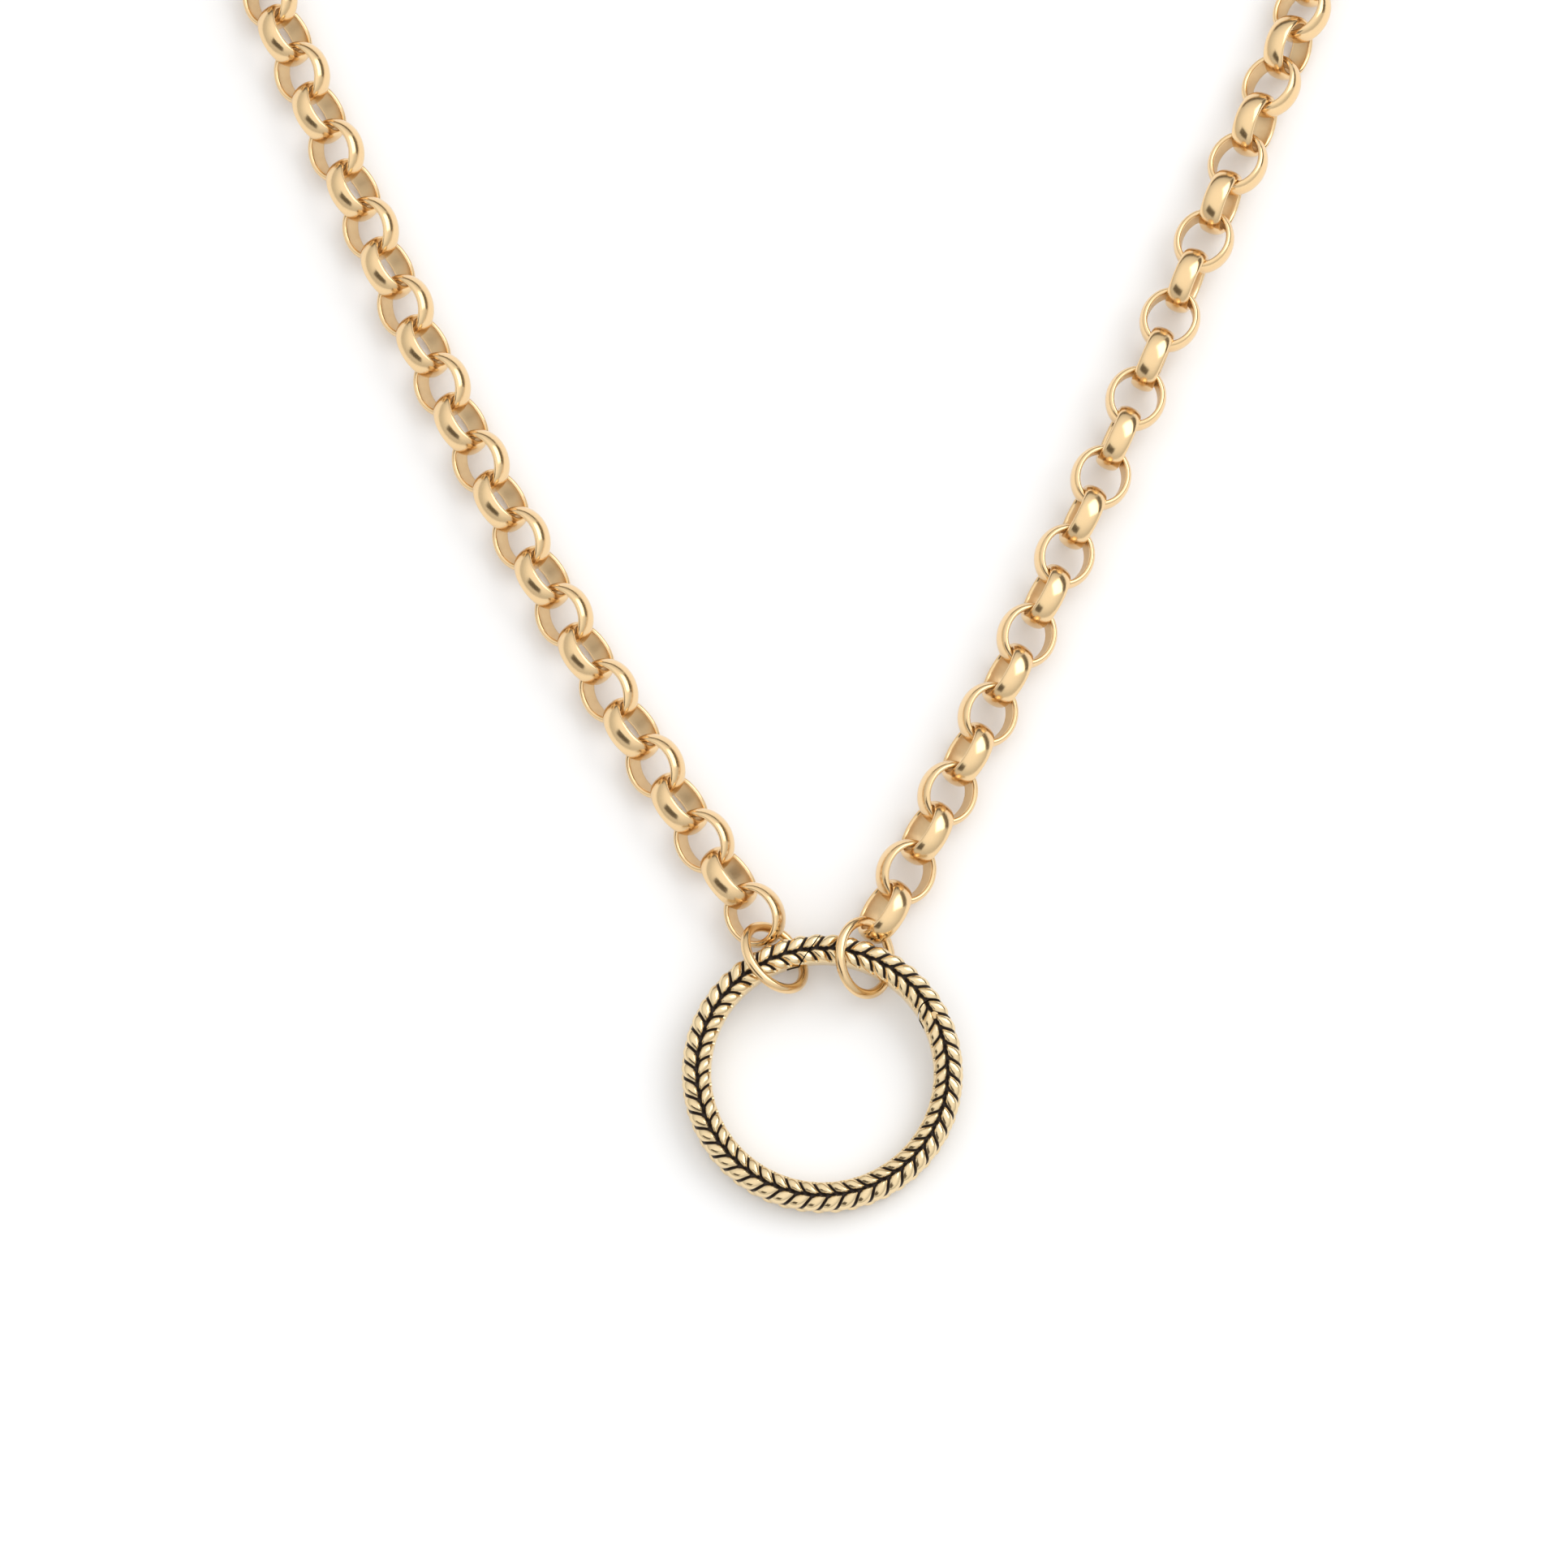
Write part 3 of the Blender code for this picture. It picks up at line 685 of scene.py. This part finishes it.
def leaf_spring_mesh():
    """A flat spring with a gentle bow."""
    middle = []
    for i in range(SPRING_STEPS + 1):
        share = i / SPRING_STEPS
        middle.append((SPRING_START + SPRING_LENGTH * share, SPRING_BOW * math.sin(math.pi * share)))
    upper = [(x, y + SPRING_THICK / 2) for x, y in middle]
    lower = [(x, y - SPRING_THICK / 2) for x, y in reversed(middle)]
    return prism("leaf_spring", upper + lower, -SPRING_WIDE / 2, SPRING_WIDE / 2)


def ring_world():
    """The ring's frame in the world, in metres: its axis is the gate hinge's."""
    axis = Vector(JOINTS[RING_JOINT]["axis"])
    return Matrix.Translation(pivot(RING_JOINT)) @ turned(axis, Vector((1, 0, 0)))


def ring_clasp(gold, walls, fitting):
    world, hinge, slit = ring_world(), hinge_matrix(), slit_matrix()
    body = cut(carved_ring_mesh(), gold, walls, [
        ("DIFFERENCE", gate_prism("wide_gate", BODY_SHOULDER, SEAM / 2), None),
        ("DIFFERENCE", disc("ear_slot", *EAR_SLOT), hinge),
        ("DIFFERENCE", block("spring_pocket", *SPRING_POCKET), hinge),
        ("DIFFERENCE", block("latch_pocket", *LATCH_POCKET), slit),
    ])
    show("carved_ring_body", carve_finish(body), world, "ring_body", ["ring_body"])
    gate = cut(carved_ring_mesh(), gold, walls, [
        ("INTERSECT", gate_prism("tight_gate", GATE_SHOULDER, -SEAM / 2), None),
        ("UNION", disc("knuckle", *KNUCKLE), hinge),
        ("UNION", block("web", *WEB), hinge),
        ("DIFFERENCE", disc("pin_hole", *PIN_HOLE, steps=24), hinge),
        ("DIFFERENCE", block("tongue_pocket", *TONGUE_POCKET), slit),
    ])
    show("carved_ring_gate", carve_finish(gate), world, "ring_gate", ["ring_gate"])
    clasp_fittings(world, hinge, slit, fitting)


def clasp_fittings(world, hinge, slit, fitting):
    tongue = softened(block("tongue", *TONGUE), TONGUE_EDGE)
    pin = softened(disc("pin", *PIN), PIN_EDGE)
    spring = softened(leaf_spring_mesh(), SPRING_EDGE)
    for name, mesh, matrix, body, node in (
            ("hinge_pin_turned", pin, hinge, "ring_body", "gate_hinge_pin"),
            ("leaf_spring", spring, hinge, "ring_body", "gate_spring"),
            ("latch_tongue", tongue, slit, "ring_gate", "gate_latch")):
        mesh.transform(Matrix.Scale(MM, 4) @ matrix)
        mesh.materials.append(fitting)
        show(name, finish_mesh(mesh, sharp=40), world, body, [node])


# ---------------------------------------------------------------- floor, light and camera

def flat_sheet(name, half_width, half_depth, material):
    mesh = bpy.data.meshes.new(name)
    w, d = half_width, half_depth
    mesh.from_pydata([(-w, -d, 0), (w, -d, 0), (w, d, 0), (-w, d, 0)], [], [(0, 1, 2, 3)])
    mesh.materials.append(material)
    return add_object(name, mesh)


def card(name, size, place, material):
    """A flat card that faces the necklace and only shows in reflections."""
    item = flat_sheet(name, size[0] / 2, size[1] / 2, material)
    item.location = place
    item.rotation_euler = (LIT_MIDDLE - place).to_track_quat("Z", "Y").to_euler()
    item.visible_camera = False
    item.visible_shadow = False
    item.visible_diffuse = False


def key_light():
    data = bpy.data.lights.new("key", "AREA")
    data.shape = "RECTANGLE"
    data.size = data.size_y = KEY_SIZE
    data.energy = KEY_POWER
    item = add_object("key", data)
    item.location = KEY_PLACE
    item.rotation_euler = (KEY_PLACE - LIT_MIDDLE).to_track_quat("Z", "Y").to_euler()


def backdrop():
    paper = dull("backdrop_paper", (0.96, 0.96, 0.96), 40.0)
    floor = flat_sheet("backdrop", FLOOR_REACH, FLOOR_REACH, paper)
    floor.location = (0, 0, -FLOOR_DROP)


def tent():
    """The world: white, and brighter overhead than at the horizon."""
    world = bpy.data.worlds.new("studio")
    world.use_nodes = True
    tree = world.node_tree
    background = tree.nodes["Background"]
    background.inputs["Color"].default_value = (1, 1, 1, 1)
    way = tree.nodes.new("ShaderNodeTexCoord")
    split = tree.nodes.new("ShaderNodeSeparateXYZ")
    fade = tree.nodes.new("ShaderNodeMapRange")
    fade.interpolation_type = "SMOOTHSTEP"
    fade.inputs["To Min"].default_value = TENT_LOW
    fade.inputs["To Max"].default_value = TENT_HIGH
    tree.links.new(way.outputs["Generated"], split.inputs["Vector"])
    tree.links.new(split.outputs["Z"], fade.inputs["Value"])
    tree.links.new(fade.outputs["Result"], background.inputs["Strength"])
    bpy.context.scene.world = world


def studio():
    """A white tent with a large lamp at the upper right and three dark openings."""
    tent()
    key_light()
    dark = dull("dark_card", (0.09, 0.075, 0.055), 5.0)
    for name, size, place in DARK_CARDS:
        card(name, size, place, dark)


def camera():
    """Looks down from a little in front of the clasp, as over a table, from far enough to flatten it."""
    data = bpy.data.cameras.new("camera")
    data.lens = CAMERA_LENS
    data.sensor_width = CAMERA_SENSOR
    data.clip_start, data.clip_end = 0.01, 10
    elevation = math.radians(CAMERA_ELEVATION)
    back = Vector((0, -math.cos(elevation), math.sin(elevation)))
    view = add_object("camera", data)
    view.location = pivot(RING_JOINT) + AIM_FROM_RING + CAMERA_DISTANCE * back
    view.rotation_mode = "QUATERNION"
    view.rotation_quaternion = back.to_track_quat("Z", "Y")
    bpy.context.scene.camera = view


def main():
    polish, satin = polished_gold(), satin_gold()
    chain_bands(polish, satin)
    back_bands(polish, satin)
    jump_rings(polish)
    ring_clasp(carved_gold(), painted_shade_walls(), fitting_gold())
    backdrop()
    studio()
    camera()
    # The default view transform would turn the white floor grey.
    bpy.context.scene.view_settings.view_transform = "Standard"


main()
